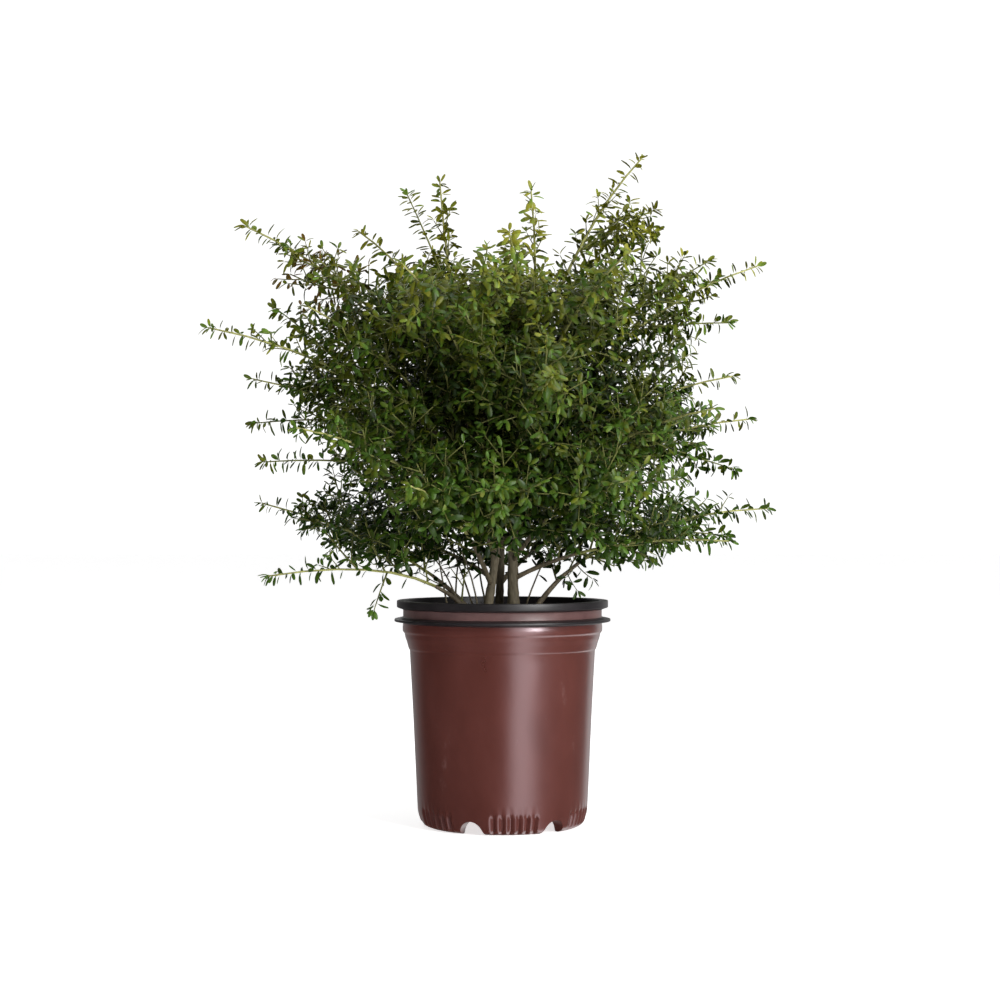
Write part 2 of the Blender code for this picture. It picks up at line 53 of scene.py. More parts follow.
# Studio: white all round, and a tall soft panel right of the camera that only gloss shows
SKY_LIGHT, SKY_SEEN = 0.36, 1.1
GLOSS_LEFT, GLOSS_PANEL, GLOSS_RIGHT, GLOSS_BEHIND = 0.02, 2.05, 0.12, 0.35
PANEL_LEFT_EDGE, PANEL_RIGHT_EDGE, BEHIND = (0.10, 0.28), (0.46, 0.72), (0.50, 1.0)
FLOOR_SIZE, FLOOR_GLOW = 12, 0.68
Lamp = namedtuple("Lamp", "place width height power")
LAMPS = {
    "key": Lamp((1.25, -1.6, 0.95), 0.5, 1.6, 52),
    "fill": Lamp((-1.4, -1.5, 1.3), 1.0, 1.0, 1.5),
    "top": Lamp((0.2, -0.3, 2.1), 1.2, 1.2, 11),
    "back": Lamp((-0.9, 1.9, 1.4), 1.2, 1.2, 10),
}
LAMPS_AIM = Vector((0, 0, 0.28))

# Pot
POT_TURNS = 324
POT_HEIGHT = 175.3 * MM
WALL = 1.6 * MM
LIP_RADIUS = 82.3 * MM
LIP_DEPTH = 5.4 * MM
BAND_RADIUS = 77.4 * MM
FLANGE_RADIUS = 84.2 * MM
FLANGE_TOP = 162.4 * MM
FLANGE_ROOT = 158.0 * MM
SHOULDER_BASE = 150.2 * MM
WAIST_RADIUS, WAIST_HEIGHT = 72.2 * MM, 137.0 * MM
BODY_FOOT_RADIUS, BODY_FOOT_HEIGHT = 66.0 * MM, 11.5 * MM
FOOT_OUTSIDE, FOOT_INSIDE = 57.8 * MM, 53.4 * MM
FLOOR_UNDERSIDE = 11.4 * MM
FEET = 6
FOOT_TURN = math.radians(-82)
ARCH_WIDTH, ARCH_HEIGHT, ARCH_DEPTH = 19.0 * MM, 10.6 * MM, 26 * MM
FLUTES = 6
FLUTE_STEP = math.radians(5.7)
FLUTE_DEPTH = 2.0 * MM
FLUTE_TOP = 17.0 * MM
WALL_WAVES = 0.28 * MM

# Soil
SOIL_TOP = 160.0 * MM
SOIL_RADIUS = BAND_RADIUS - WALL - 0.4 * MM
SOIL_MOUND_RADIUS = 42 * MM
SOIL_DROP = 4 * MM
CHIPS = 900
CHIP_CLEARANCE = 8 * MM

# Limbs, as in the solids: trunks on the soil, boughs on the trunks, side stems beside them
FLARE_HEIGHT = 16 * MM
GAP = 0.3 * MM
TRUNK_RINGS = 9
Trunk = namedtuple("Trunk", "foot middle tip foot_radius radius tip_radius")
TRUNKS = {
    "trunk_left": Trunk((-13, -6), (-5, -8, 256), (-24, -14, 352), 5.6, 3.7, 1.5),
    "trunk_right": Trunk((9, 0), (10, 0, 272), (22, 4, 384), 7.4, 4.6, 1.6),
    "trunk_back": Trunk((-3, 14), (-1, 26, 256), (-6, 44, 352), 4.8, 3.3, 1.5),
}
LEADER_STEPS, BOUGH_STEPS, STEM_STEPS = 9, 3, 4
KNEE_OUT, KNEE_UP, KNEE_LIFT = 0.42, 0.64, 0.10
BOUGH_RADIUS, SPLIT_RADIUS, TIP_RADIUS = 2.1 * MM, 1.35 * MM, 0.65 * MM
SIDE_STEM_RADIUS = 2.6 * MM
SIDE_STEM_OUT = 0.22
EXTRA_ROOT = 0.3
RELIEF_STEP = 1.6 * MM
THICK_LIMB = 3 * MM
THICK_RELIEF, THIN_RELIEF = 0.30, 0.16
Leader = namedtuple("Leader", "name limb share azimuth reach height extra", defaults=((),))
LEADERS = (
    Leader("low_right", "side_stem_right", 1.0, 20, 230, 247, ((26, 206, 224),)),
    Leader("low_front_right", "trunk_right", 0.14, 337, 184, 222),
    Leader("low_front", "trunk_right", 0.20, 298, 192, 266, ((316, 180, 268),)),
    Leader("low_front_left", "trunk_left", 0.14, 250, 190, 262),
    Leader("low_left_front", "side_stem_front", 1.0, 203, 190, 196, ((212, 114, 170),)),
    Leader("low_left", "side_stem_left", 1.0, 170, 194, 251),
    Leader("low_back_left", "trunk_back", 0.14, 142, 200, 232),
    Leader("low_back", "trunk_back", 0.20, 102, 198, 240),
    Leader("low_back_right", "trunk_back", 0.14, 62, 202, 234),
    Leader("mid_right", "trunk_right", 0.36, 357, 192, 316, ((11, 188, 278),)),
    Leader("mid_front_right", "trunk_right", 0.30, 318, 204, 318),
    Leader("mid_front", "trunk_right", 0.42, 280, 202, 338, ((258, 150, 388),)),
    Leader("mid_front_left", "trunk_left", 0.28, 224, 205, 304, ((205, 196, 281),)),
    Leader("mid_left", "trunk_left", 0.40, 174, 198, 349, ((182, 192, 313),)),
    Leader("mid_back_left", "trunk_back", 0.40, 138, 206, 322),
    Leader("mid_back", "trunk_back", 0.46, 94, 205, 346),
    Leader("mid_back_right", "trunk_back", 0.30, 44, 208, 326),
    Leader("high_right", "trunk_right", 0.56, 6, 202, 438, ((2, 177, 392),)),
    Leader("high_front_right", "trunk_right", 0.62, 299, 188, 428, ((338, 166, 432),)),
    Leader("high_front_left", "trunk_left", 0.74, 248, 190, 418, ((266, 158, 430),)),
    Leader("long_left", "trunk_left", 0.52, 200, 233, 381, ((182, 176, 402),)),
    Leader("high_left", "trunk_left", 0.62, 197, 202, 459),
    Leader("high_back_left", "trunk_back", 0.68, 120, 186, 446),
    Leader("high_back_right", "trunk_back", 0.60, 60, 190, 448),
    Leader("top_right", "trunk_right", 0.80, 349, 109, 516, ((2, 119, 480), (24, 134, 470))),
    Leader("top_middle", "trunk_right", 1.0, 289, 66, 485),
    Leader("top_left", "trunk_left", 1.0, 146, 60, 506, ((190, 75, 490),)),
    Leader("top_left_outer", "trunk_left", 0.84, 160, 122, 468),
    Leader("top_back", "trunk_back", 1.0, 86, 122, 470),
    Leader("top_front", "trunk_right", 0.86, 272, 132, 446),
    Leader("inner_front_left", "trunk_left", 0.44, 212, 170, 396),
    Leader("inner_front_right", "trunk_right", 0.44, 345, 181, 347),
    Leader("inner_back_left", "trunk_back", 0.54, 158, 118, 392),
    Leader("inner_back_right", "trunk_back", 0.34, 30, 116, 378),
    Leader("inner_low_front", "trunk_right", 0.28, 270, 168, 262),
)
BARE_TRUNK_MASSES = (
    "mid_back",
    "high_front_right",
    "high_front_left",
    "high_back_left",
    "high_back_right",
    "top_left_outer",
    "top_front",
    "inner_front_left",
    "inner_front_right",
    "inner_back_left",
    "inner_back_right",
    "inner_low_front",
)
SIDE_STEMS = {
    "side_stem_right": ((19, -7), 241),
    "side_stem_left": ((-19, 4), 217),
    "side_stem_front": ((-19, -20), 215),
}

# The dense crown in mm, which only the leaders' tips stand out of: height, reach left, right, front and back
CROWN_SIDES = (
    (190, 70, 70, 60),
    (203, 112, 124, 105),
    (216, 140, 142, 130),
    (230, 150, 150, 150),
    (246, 164, 158, 165),
    (264, 138, 146, 165),
    (282, 156, 148, 168),
    (306, 158, 154, 170),
    (324, 154, 162, 172),
    (346, 168, 142, 172),
    (366, 150, 142, 172),
    (394, 150, 146, 170),
    (412, 158, 158, 166),
    (430, 172, 160, 160),
    (448, 182, 132, 145),
    (466, 182, 122, 120),
    (484, 96, 114, 90),
    (505, 76, 106, 60),
)
# The height of the crown's top in mm, from left to right
CROWN_TOP = (
    (-200, 440),
    (-170, 458),
    (-140, 450),
    (-117, 434),
    (-96, 422),
    (-79, 428),
    (-49, 436),
    (-22, 424),
    (-4, 432),
    (24, 420),
    (50, 426),
    (66, 440),
    (84, 464),
    (104, 476),
    (118, 466),
    (128, 440),
    (150, 430),
    (190, 420),
)
CROWN_MARGIN = (-8 * MM, 12 * MM)

# Foliage: the solids' rule for side shoots, all of them here, then twigs on the shoots by the same rule
GOLDEN_ANGLE = math.radians(137.5)
SHOOTS = 13
FIRST_SHOOT, LAST_SHOOT = 0.06, 0.90
SHOOT_ANGLE = (math.radians(62), math.radians(34))
SHOOT_SHARE = (0.62, 0.30)
SHOOT_SPREAD = (0.8, 1.15)
SHOOT_LIFT = 0.36
SHOOT_RADIUS = (0.95 * MM, 0.45 * MM)
STEM_END = 31.3 * MM
TRIES = (1.0, 0.78, 0.58, 0.4)
SPUR_REACH = (9 * MM, 18 * MM)
TWIG_SPACING = 5.6 * MM
TWIG_REACH = (34 * MM, 17 * MM)
TWIG_RADIUS = (0.55 * MM, 0.32 * MM)
TWIG_FAN, TWIG_SPREAD = (0.62, 1.0), (0.6, 1.15)
FIRST_TWIG, TWIG_RUN = 0.12, 0.74
SKIRT = 201 * MM
BOUGH_SHOOT_SPACING = 12 * MM
BOUGH_SHOOT_REACH = 46 * MM
BOUGH_SHOOT_SPREAD = (0.6, 1.2)
FINE_STEM_RADIUS = (0.9 * MM, 0.45 * MM)
FINE_STEMS = (
    ((-30, -2), (-62, -6, 218)),
    ((-36, 8), (-30, 14, 225)),
    ((-19, 8), (-46, 12, 230)),
    ((-17, -14), (-36, -24, 222)),
    ((-9, 4), (-20, 12, 236)),
    ((1, 18), (9, 32, 234)),
    ((-40, -6), (-50, -14, 212)),
    ((14, 12), (46, 22, 228)),
)
HANGING = (
    ("side_stem_right", 0.80, (58, -10, 183)),
    ("side_stem_right", 0.96, (70, 6, 192)),
    ("side_stem_right", 0.92, (50, 4, 193)),
    ("side_stem_left", 0.75, (-64, 2, 196)),
)
LEAF_LENGTH = 10.2 * MM
LEAF_WIDTH = 0.39
LEAF_SPACING = 4.1 * MM
TIP_LEAF_SPACING = 3.1 * MM
OLD_LEAF_SPACING = 6.6 * MM
LEAF_FAN, LEAF_FAN_SPREAD = math.radians(60), (0.72, 1.25)
LEAF_SIZE_SPREAD = (0.76, 1.2)
LEAF_TURN_STRAY, LEAF_STRAY = 0.35, 0.6
LEAF_CURLS = (0.40, 0.70, 1.05)
LEAF_DOME = 0.09
LEAF_WAYS = (0.0, 0.17, 0.42, 0.68, 0.90, 1.0)
LEAF_HALVES = (0.05, 0.12, 0.82, 1.0, 0.76, 0.30)
ROSETTE = ((0.99, 0.2), (0.98, 0.55), (0.965, 0.8))
TIER_LEAVES = {"low": 0.96, "mid": 0.94, "inner": 0.93, "high": 0.98, "top": 0.94}
TONES = ("shade", "deep", "mid", "fresh", "lime")
# Each tier's starting step on the scale of greens: darker for the low, middle and inner tiers, paler for the
# high and top ones. This is partly the yellow-green of young growth and partly painted light falling on the
# crown's top.
TIER_TONES_AND_PAINTED_LIGHT = {"low": 1.35, "mid": 1.5, "inner": 1.4, "high": 2.2, "top": 3.0}
# Leaves this far inside the dense crown, and deeper, get greens this many steps darker, fewer nearer its
# outside: painted shade.
INNER_DEPTH, INNER_PAINTED_SHADE = 60 * MM, 1.1
YOUNG_LEAF, YOUNG_TONE_RISE = 0.8, 0.9
BRONZE_PLACE = Vector((-139, -20, 424)) * MM
BRONZE_REACH, BRONZE_SHARE = 40 * MM, 0.4


class Value:
    """A shader socket that Python's arithmetic can be used on."""

    def __init__(self, shader, socket):
        self.shader, self.socket = shader, socket

    def maths(self, operation, first, second=0.0):
        made = self.shader.node("ShaderNodeMath", {"operation": operation}, {0: first, 1: second})
        return made.out(0)

    def __add__(self, other):
        return self.maths("ADD", self, other)

    def __sub__(self, other):
        return self.maths("SUBTRACT", self, other)

    def __mul__(self, other):
        return self.maths("MULTIPLY", self, other)

    def __rsub__(self, other):
        return self.maths("SUBTRACT", other, self)

    __radd__, __rmul__ = __add__, __mul__


class Node:
    def __init__(self, shader, node):
        self.shader, self.node = shader, node

    def out(self, name):
        return Value(self.shader, self.node.outputs[name])


class Shader:
    """A material with one Principled shader, built by adding nodes."""

    def __init__(self, name, **constants):
        self.material = bpy.data.materials.new(name)
        self.material.use_nodes = True
        self.tree = self.material.node_tree
        self.surface = self.tree.nodes["Principled BSDF"]
        for socket, value in constants.items():
            self.surface.inputs[socket.replace("_", " ")].default_value = value
        self.place = self.node("ShaderNodeTexCoord").out("Object")

    def node(self, kind, settings=None, values=None):
        made = self.tree.nodes.new(kind)
        for name, value in (settings or {}).items():
            setattr(made, name, value)
        for socket, value in (values or {}).items():
            if isinstance(value, Value):
                self.tree.links.new(value.socket, made.inputs[socket])
            else:
                made.inputs[socket].default_value = value
        return Node(self, made)

    def noise(self, scale, detail=3.0, stretch=(1, 1, 1), roughness=0.55):
        mapped = self.node("ShaderNodeMapping", None, {"Vector": self.place, "Scale": stretch}).out(0)
        values = {"Vector": mapped, "Scale": scale, "Detail": detail, "Roughness": roughness}
        return self.node("ShaderNodeTexNoise", None, values).out("Fac")

    def ramp(self, factor, stops):
        made = self.node("ShaderNodeValToRGB", None, {0: factor})
        ramp = made.node.color_ramp
        while len(ramp.elements) < len(stops):
            ramp.elements.new(0.5)
        for element, (position, colour) in zip(ramp.elements, stops):
            element.position = position
            element.color = colour if len(colour) == 4 else (*colour, 1)
        return made.out("Color")

    def mix(self, factor, first, second):
        return self.node("ShaderNodeMix", {"data_type": "RGBA"}, {0: factor, 6: first, 7: second}).out(2)

    def feed(self, socket, value):
        self.tree.links.new(value.socket, self.surface.inputs[socket])

    def colour(self, factor, low, dark, high, pale):
        """The base colour, dark where the factor is low and pale where it is high."""
        self.feed("Base Color", self.ramp(factor, ((low, dark), (high, pale))))

    def bump(self, height, distance, strength=1.0):
        values = {"Height": height, "Distance": distance, "Strength": strength}
        self.feed("Normal", self.node("ShaderNodeBump", None, values).out("Normal"))


def grey(level):
    return (level, level, level)


def pot_brown():
    look = Shader(
        "pot_brown",
        Specular_IOR_Level=1.0,
        Specular_Tint=(1.0, 0.80, 0.88, 1),
        Coat_Weight=0.5,
        Coat_Roughness=0.24,
    )
    mottle = look.noise(38.0, 4.0, (1, 1, 0.45))
    scuffs = look.noise(34.0, 7.0, (1, 1, 0.6), 0.7)
    scuffed = look.ramp(scuffs, ((0.64, grey(0)), (0.74, grey(1))))
    colour = look.ramp(mottle, ((0.30, (0.067, 0.0145, 0.0092)), (0.70, (0.087, 0.0200, 0.0132))))
    look.feed("Base Color", look.mix(scuffed * 0.5, colour, (0.19, 0.10, 0.09, 1)))
    look.feed("Roughness", mottle * 0.12 + 0.24)
    look.bump(mottle, 0.0005, 0.4)
    return look.material


def pot_black():
    look = Shader("pot_black", Specular_IOR_Level=0.5)
    mottle = look.noise(60.0, 4.0)
    look.colour(mottle, 0.3, (0.0075, 0.0066, 0.0072), 0.75, (0.017, 0.014, 0.016))
    look.feed("Roughness", mottle * 0.2 + 0.32)
    look.bump(mottle, 0.0003, 0.4)
    return look.material


def pot_band():
    look = Shader("pot_band", Specular_IOR_Level=0.5)
    mottle = look.noise(70.0, 4.0)
    look.colour(mottle, 0.3, (0.088, 0.042, 0.040), 0.75, (0.145, 0.074, 0.070))
    look.feed("Roughness", mottle * 0.2 + 0.3)
    look.bump(mottle, 0.0003, 0.4)
    return look.material


def potting_mix():
    look = Shader("potting_mix", Roughness=0.95)
    grain = look.noise(420.0, 6.0)
    look.colour(grain, 0.30, (0.012, 0.008, 0.006), 0.72, (0.065, 0.040, 0.026))
    look.bump(grain, 0.0012, 0.8)
    return look.material


def bark_chip():
    look = Shader("bark_chip", Roughness=0.88)
    grain = look.noise(160.0, 5.0, (1, 1, 3))
    look.colour(grain, 0.28, (0.020, 0.012, 0.008), 0.75, (0.115, 0.066, 0.040))
    look.bump(grain, 0.0006, 0.7)
    return look.material


def bark(name, dark, pale):
    look = Shader(name, Specular_IOR_Level=0.35)
    patches = look.noise(55.0, 3.0, (1, 1, 0.5))
    grain = look.noise(620.0, 5.0, (1, 1, 0.3))
    look.colour(patches * 0.55 + grain * 0.45, 0.32, dark, 0.68, pale)
    look.feed("Roughness", grain * 0.25 + 0.58)
    look.bump(grain, 0.0005, 0.7)
    return look.material


def leaf(name, dark, pale, roughness):
    look = Shader(name, Specular_IOR_Level=0.23)
    patches = look.noise(90.0, 3.0)
    height = look.node("ShaderNodeSeparateXYZ", None, {0: look.place}).out("Z")
    # Noise and height shift the greens between cool and warm; the bluish cast on the low leaves is a painted
    # reflection.
    hues = look.noise(64.0, 2.0) + (height - 0.36) * 0.9
    colour = look.ramp(patches, ((0.35, dark), (0.65, pale)))
    cool, warm = (
        look.node("ShaderNodeVectorMath", {"operation": "MULTIPLY"}, {0: colour, 1: tint}).out(0)
        for tint in (LEAF_COOL, LEAF_WARM)
    )
    look.feed("Base Color", look.mix(look.ramp(hues, ((0.38, grey(0)), (0.62, grey(1)))), cool, warm))
    look.feed("Roughness", patches * 0.12 + roughness)
    look.bump(look.noise(700.0, 2.0), 0.0002, 0.35)
    return look.material


BARK_LOOKS = {
    "old": ((0.055, 0.044, 0.027), (0.225, 0.190, 0.122)),
    "young": ((0.055, 0.042, 0.026), (0.195, 0.160, 0.100)),
    "stem": ((0.160, 0.160, 0.042), (0.400, 0.400, 0.140)),
    "green": ((0.065, 0.072, 0.016), (0.185, 0.195, 0.052)),
}
LEAF_COOL, LEAF_WARM = (0.64, 1.06, 1.25), (1.15, 1.0, 0.7)
# "shade", the darkest green, is there for leaves deep inside the crown: painted shade.
LEAF_LOOKS = {
    "shade": ((0.0080, 0.0140, 0.0005), (0.0170, 0.0270, 0.0008), 0.40),
    "deep": ((0.0190, 0.0310, 0.0012), (0.0360, 0.0510, 0.0022), 0.36),
    "mid": ((0.0400, 0.0550, 0.0032), (0.0650, 0.0840, 0.0058), 0.36),
    "fresh": ((0.0720, 0.0920, 0.0065), (0.1120, 0.1350, 0.0120), 0.40),
    "lime": ((0.1250, 0.1500, 0.0130), (0.1900, 0.2150, 0.0260), 0.44),
    "bronze": ((0.0700, 0.0480, 0.0060), (0.1500, 0.0950, 0.0170), 0.40),
}


def mesh_piece(name, shape, materials):
    mesh = bpy.data.meshes.new(name)
    shape.to_mesh(mesh)
    shape.free()
    return placed(name, mesh, materials)


def placed(name, mesh, materials):
    piece = bpy.data.objects.new(name, mesh)
    bpy.context.scene.collection.objects.link(piece)
    for material in materials:
        mesh.materials.append(material)
    return piece


def belongs(piece, slot, *nodes):
    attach(piece, "root")
    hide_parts(*nodes)


def applied(piece):
    bpy.context.view_layer.update()
    evaluated = piece.evaluated_get(bpy.context.evaluated_depsgraph_get())
    mesh = bpy.data.meshes.new_from_object(evaluated)
    piece.modifiers.clear()
    piece.data = mesh


def rounded(corners, radius, steps=4):
    """A line of (radius, height) points with each inner corner rounded."""
    line = [Vector(corners[0])]
    for before, corner, after in zip(corners, corners[1:], corners[2:]):
        before, corner, after = Vector(before), Vector(corner), Vector(after)
        reach = min(radius, (corner - before).length * 0.45, (after - corner).length * 0.45)
        start = corner + (before - corner).normalized() * reach
        end = corner + (after - corner).normalized() * reach
        for step in range(steps + 1):
            share = step / steps
            line.append(start.lerp(corner, share).lerp(corner.lerp(end, share), share))
    return line + [Vector(corners[-1])]


def divided(line, most):
    """The same line with no stretch longer than most."""
    points = [line[0]]
    for first, second in zip(line, line[1:]):
        count = max(1, math.ceil((second - first).length / most))
        points += [first.lerp(second, step / count) for step in range(1, count + 1)]
    return points


def wall_radius(height):
    """The outer wall's radius below the shoulder."""
    share = (height - BODY_FOOT_HEIGHT) / (WAIST_HEIGHT - BODY_FOOT_HEIGHT)
    return BODY_FOOT_RADIUS + (WAIST_RADIUS - BODY_FOOT_RADIUS) * min(max(share, 0), 1)


def make_pot():
    inner = [
        (0, FLOOR_UNDERSIDE + WALL),
        (BODY_FOOT_RADIUS - 3 * WALL, FLOOR_UNDERSIDE + WALL),
        (BODY_FOOT_RADIUS - WALL, FLOOR_UNDERSIDE + 3 * WALL),
        (WAIST_RADIUS - WALL, WAIST_HEIGHT),
        (BAND_RADIUS - WALL, SHOULDER_BASE),
        (BAND_RADIUS - WALL, POT_HEIGHT),
    ]
    rim = [
        (LIP_RADIUS, POT_HEIGHT),
        (LIP_RADIUS, POT_HEIGHT - LIP_DEPTH),
        (BAND_RADIUS, POT_HEIGHT - LIP_DEPTH - WALL),
        (BAND_RADIUS, FLANGE_TOP),
        (FLANGE_RADIUS, FLANGE_TOP - 1.4 * MM),
        (FLANGE_RADIUS, FLANGE_ROOT + 1.0 * MM),
        (BAND_RADIUS, FLANGE_ROOT),
        (BAND_RADIUS + 0.4 * MM, SHOULDER_BASE + 4.6 * MM),
        (BAND_RADIUS + 0.3 * MM, SHOULDER_BASE + 1.2 * MM),
        (BAND_RADIUS - 1.2 * MM, SHOULDER_BASE - 0.4 * MM),
        (BAND_RADIUS - 1.7 * MM, SHOULDER_BASE - 3.6 * MM),
        (WAIST_RADIUS + 2.2 * MM, WAIST_HEIGHT + 6.0 * MM),
        (WAIST_RADIUS + 0.9 * MM, WAIST_HEIGHT + 1.0 * MM),
        (WAIST_RADIUS - 0.1 * MM, WAIST_HEIGHT - 0.2 * MM),
        (wall_radius(FLUTE_TOP), FLUTE_TOP),
    ]
    foot = [
        (BODY_FOOT_RADIUS, BODY_FOOT_HEIGHT),
        (FOOT_OUTSIDE + 5.6 * MM, 2.4 * MM),
        (FOOT_OUTSIDE, 0),
        (FOOT_INSIDE, 0),
        (FOOT_INSIDE, FLOOR_UNDERSIDE),
    ]
    upper = divided(rounded(inner + rim, 0.7 * MM, 3), 7.0 * MM)[:-1]
    lower = divided(rounded([rim[-1]] + foot, 4.0 * MM), 1.8 * MM)
    line = upper + lower + [Vector((0, FLOOR_UNDERSIDE))]
    shape = bmesh.new()
    verts = [shape.verts.new((point.x, 0, point.y)) for point in line]
    edges = [shape.edges.new(pair) for pair in zip(verts, verts[1:])]
    bmesh.ops.spin(
        shape,
        geom=verts + edges,
        cent=(0, 0, 0),
        axis=(0, 0, 1),
        dvec=(0, 0, 0),
        angle=math.tau,
        steps=POT_TURNS,
        use_merge=True,
    )
    bmesh.ops.remove_doubles(shape, verts=shape.verts, dist=0.00001)
    bmesh.ops.recalc_face_normals(shape, faces=shape.faces)
    for vert in shape.verts:
        shape_foot(vert)
    pot = mesh_piece("pot_body", shape, [pot_brown(), pot_black(), pot_band()])
    cut_arches(pot)
    paint_pot(pot.data)
    pot.data.shade_smooth()
    pot.data.set_sharp_from_angle(angle=math.radians(40))
    belongs(pot, "pot_plastic", "pot")


def cut_arches(pot):
    """Cuts the arched openings between the feet."""
    arches = bmesh.new()
    squeeze = Matrix.Diagonal((1, ARCH_WIDTH / 2, ARCH_HEIGHT, 1))
    outward = Matrix.Translation(((FOOT_INSIDE + BODY_FOOT_RADIUS) / 2, 0, 0))
    lie = Matrix.Rotation(math.pi / 2, 4, "Y")
    for number in range(FEET):
        turn = Matrix.Rotation(FOOT_TURN + (number + 0.5) * math.tau / FEET, 4, "Z")
        bmesh.ops.create_cone(
            arches,
            cap_ends=True,
            segments=48,
            radius1=1,
            radius2=1,
            depth=ARCH_DEPTH,
            matrix=turn @ outward @ squeeze @ lie,
        )
    cutter = mesh_piece("arch_cutter", arches, [])
    cut = pot.modifiers.new("Arches", "BOOLEAN")
    cut.operation = "DIFFERENCE"
    cut.solver = "EXACT"
    cut.object = cutter
    applied(pot)
    bpy.data.objects.remove(cutter)


def shape_foot(vert):
    """Presses the flutes into the feet and gives the wall the slight waves of a moulded pot."""
    radius = math.hypot(vert.co.x, vert.co.y)
    if radius < FOOT_INSIDE + 0.5 * MM:
        return
    turn = math.atan2(vert.co.y, vert.co.x)
    depth = WALL_WAVES * noise.noise(Vector((math.cos(turn) * 2.2, math.sin(turn) * 2.2, vert.co.z * 18)))
    if vert.co.z < FLUTE_TOP and radius > FOOT_OUTSIDE - 1.2 * MM:
        foot = (turn - FOOT_TURN + math.pi / FEET) % (math.tau / FEET) - math.pi / FEET
        fade = min(1, vert.co.z / (2 * MM), (FLUTE_TOP - vert.co.z) / (4 * MM))
        for number in range(FLUTES):
            away = abs(foot - (number - (FLUTES - 1) / 2) * FLUTE_STEP) / (FLUTE_STEP * 0.34)
            if away < 1:
                depth -= FLUTE_DEPTH * (1 - away * away) * fade
    if 0.5 * MM < vert.co.z < WAIST_HEIGHT:
        scale = (radius + depth) / radius
        vert.co.x *= scale
        vert.co.y *= scale


def paint_pot(mesh):
    """Brown outside, black inside and on both lips, dark brown on the band between them."""
    for face in mesh.polygons:
        radius = math.hypot(face.center.x, face.center.y)
        height = face.center.z
        outside = face.normal.xy.dot(face.center.xy) > 0.05 * radius
        if height > FLANGE_ROOT - 0.3 * MM:
            band = outside and FLANGE_TOP < height < POT_HEIGHT - LIP_DEPTH - WALL * 0.6
            face.material_index = 2 if band else 1
        elif height > FLOOR_UNDERSIDE + WALL / 2:
            face.material_index = 0 if outside else 1


def soil_height(radius):
    """The soil's height in the solids, a low mound that drops to the wall. The chips keep to it."""
    return SOIL_TOP - SOIL_DROP * max(0, radius - SOIL_MOUND_RADIUS) / (SOIL_RADIUS - SOIL_MOUND_RADIUS)


def make_soil():
    """The potting mix: a flat face from wall to wall, a little uneven at its edge, and bark chips over it."""
    shape = bmesh.new()
    bmesh.ops.create_circle(shape, cap_ends=True, segments=96, radius=SOIL_RADIUS)
    for vert in shape.verts:
        lumps = noise.noise(vert.co * 160) * 1.3 * MM + noise.noise(vert.co * 420) * 0.8 * MM
        vert.co.z = soil_height(vert.co.xy.length) - 0.8 * MM + lumps
    surface = mesh_piece("potting_mix_surface", shape, [potting_mix()])
    surface.data.shade_smooth()
    belongs(surface, "potting_soil", "soil")
    draw = random.Random(7)
    chips = bmesh.new()
    for number in range(CHIPS):
        turn, radius = draw.uniform(0, math.tau), SOIL_RADIUS * 0.96 * math.sqrt(draw.random())
        height = soil_height(radius) + 0.2 * MM
        place = Vector((math.cos(turn) * radius, math.sin(turn) * radius, height))
        if min((place.xy - Vector(trunk.foot) * MM).length for trunk in TRUNKS.values()) < CHIP_CLEARANCE:
            continue
        size = Vector((draw.uniform(1.5, 4.6), draw.uniform(1.0, 2.6), draw.uniform(0.5, 1.3))) * MM
        spin = Matrix.Rotation(draw.uniform(0, math.tau), 4, "Z")
        tilt = Matrix.Rotation(draw.uniform(-0.5, 0.5), 4, "X")
        matrix = Matrix.Translation(place) @ spin @ tilt @ Matrix.Diagonal((*size, 1))
        made = bmesh.ops.create_icosphere(chips, subdivisions=1, radius=0.7, matrix=matrix)
        for vert in made["verts"]:
            vert.co += Vector([draw.uniform(-0.35, 0.35) * MM for axis in range(3)])
    pieces = mesh_piece("bark_chips", chips, [bark_chip()])
    belongs(pieces, "potting_soil", "soil")


def polar(azimuth, reach, height):
    turn = math.radians(azimuth)
    return Vector((math.cos(turn) * reach, math.sin(turn) * reach, height)) * MM


def knee_of(start, tip):
    run = Vector((tip.x - start.x, tip.y - start.y, 0))
    return start + run * KNEE_OUT + UP * ((tip.z - start.z) * KNEE_UP + run.length * KNEE_LIFT)


def arch(start, tip, steps, knee=None):
    knee = knee or knee_of(start, tip)
    shares = [number / steps for number in range(steps + 1)]
    return [start.lerp(knee, share).lerp(knee.lerp(tip, share), share) for share in shares]


def along(points, share):
    """The place at a share of a line's length, and the line's heading there."""
    left = share * length_of(points)
    for first, second in zip(points, points[1:]):
        run = second - first
        if left <= run.length or second is points[-1]:
            return first + run.normalized() * left, run.normalized()
        left -= run.length


def length_of(points):
    return sum((second - first).length for first, second in zip(points, points[1:]))


def shortened(points, cut):
    """The line with a length cut off its end."""
    points = list(points)
    while (points[-1] - points[-2]).length <= cut:
        cut -= (points[-1] - points[-2]).length
        points.pop()
    points[-1] = points[-1] + (points[-2] - points[-1]).normalized() * cut
    return points


def tapered(start, end, count):
    return [start + (end - start) * number / (count - 1) for number in range(count)]


